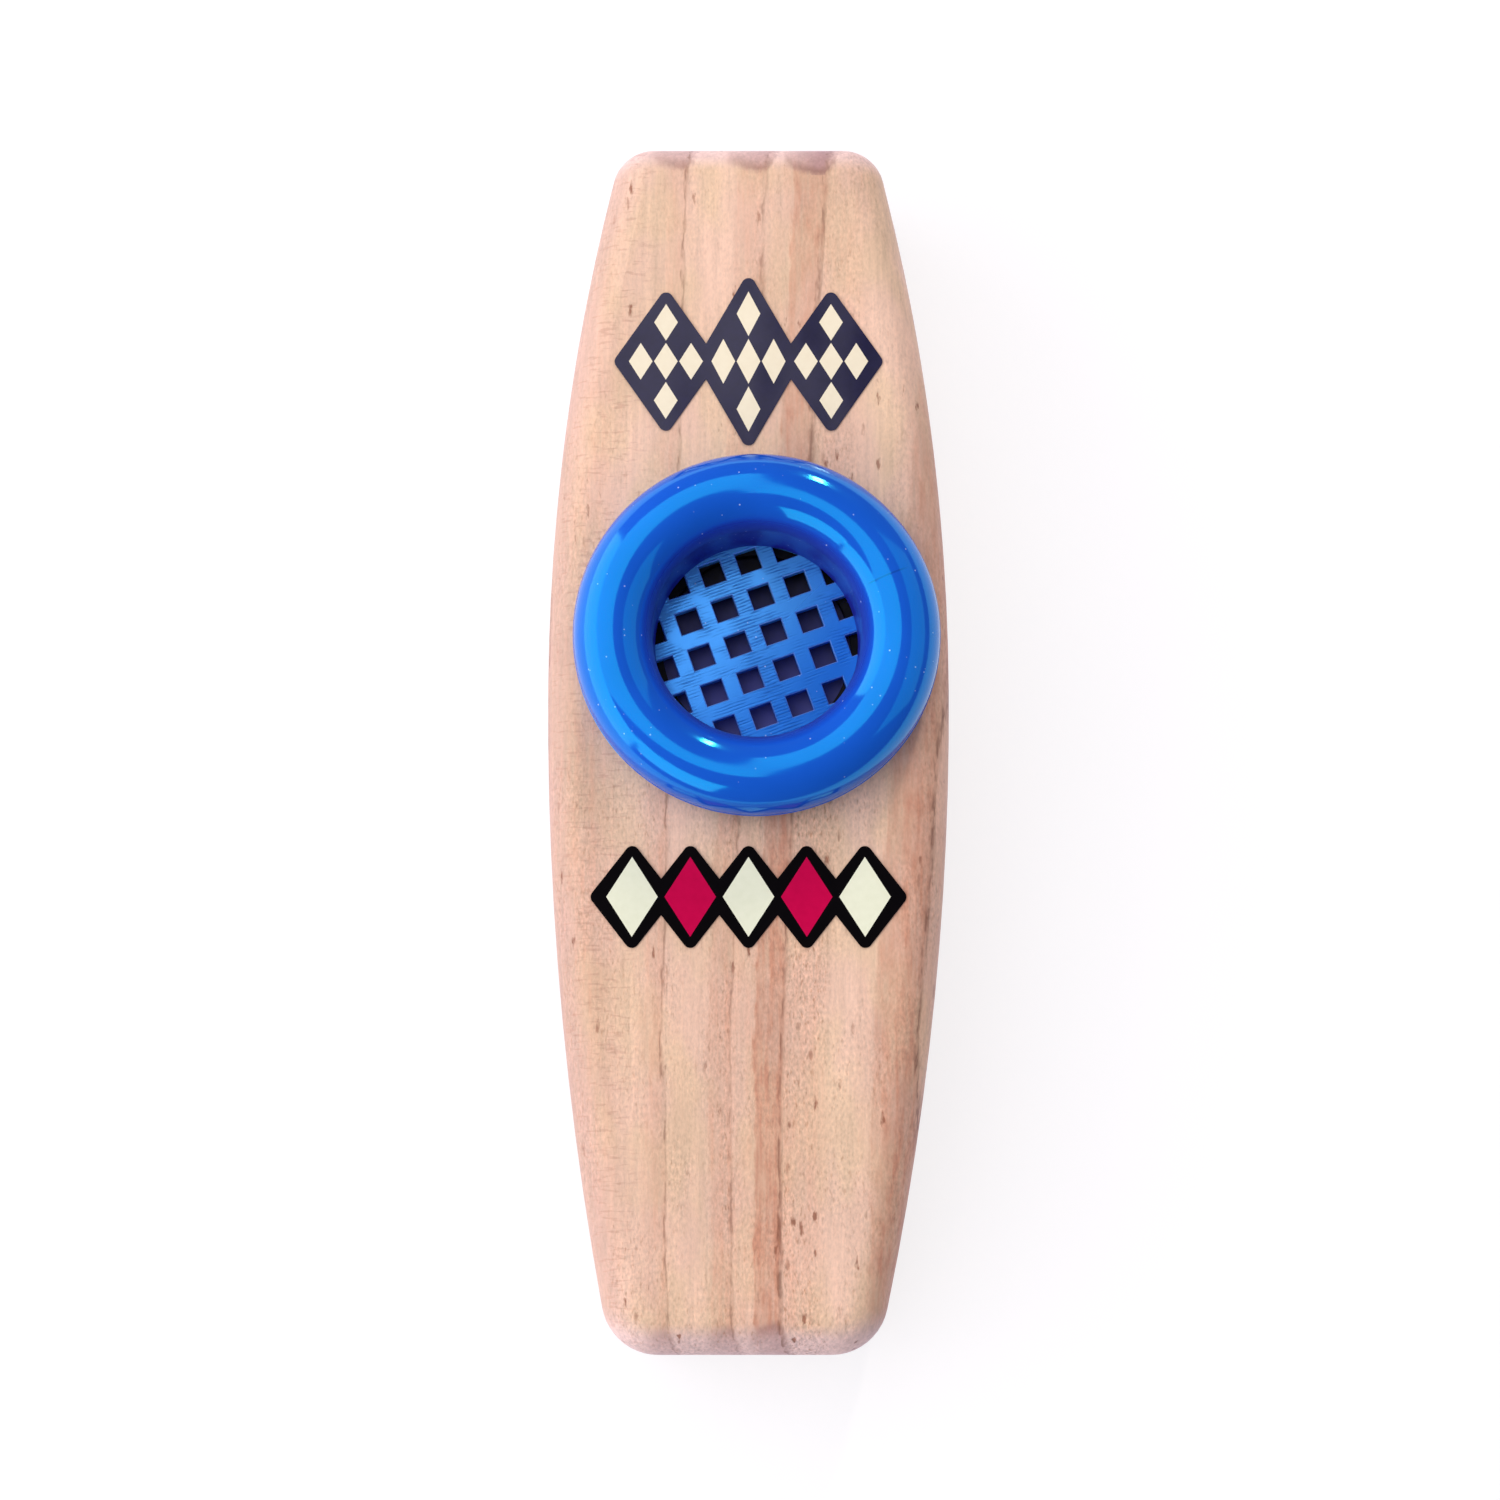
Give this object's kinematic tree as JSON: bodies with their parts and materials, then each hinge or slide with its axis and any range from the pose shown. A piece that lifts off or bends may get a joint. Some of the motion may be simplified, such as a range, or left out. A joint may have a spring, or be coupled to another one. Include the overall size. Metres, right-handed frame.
{
  "type": "kazoo",
  "caption": "Barrel-shaped wooden kazoo with a screw-in plastic turret, a square-holed grille over a vibrating film, and a flat slot to hum into.",
  "frame": {"origin": "middle of the flat back, on the surface that the kazoo lies on", "axes": "+Z out of the turret, +Y along the body to the mouth end, +X across the body"},
  "size_m": [0.0396, 0.12, 0.0266],
  "materials": {
    "softwood": "sanded bare softwood, grain along the length",
    "turret_plastic": "glossy moulded blue",
    "grille_plastic": "satin blue with fine tool marks",
    "collar_plastic": "satin blue",
    "hoop_plastic": "satin black",
    "film": "thin dark translucent film",
    "vinyl": "glossy printed vinyl"
  },
  "bodies": {
    "kazoo_body": {"wooden_body": "softwood", "seat_collar": "collar_plastic", "upper_decal": "vinyl", "lower_decal": "vinyl"},
    "film_cartridge": {"membrane": "film", "membrane_hoop": "hoop_plastic"},
    "turret": {"turret_ring": "turret_plastic", "grille": "grille_plastic"}
  },
  "joints": [
    {"name": "turret_lift", "type": "slide", "parent": "kazoo_body", "child": "film_cartridge", "axis": [0, 0, 1], "range_m": [0, 0.006]},
    {"name": "turret_turn", "type": "hinge", "parent": "film_cartridge", "child": "turret", "pos_m": [0.0008, 0.0093, 0.02], "axis": [0, 0, 1], "range_deg": [0, 720]}
  ],
  "couplings": [
    {"joint": "turret_lift", "follows": "turret_turn", "m_per_rad": 0.00047746}
  ]
}
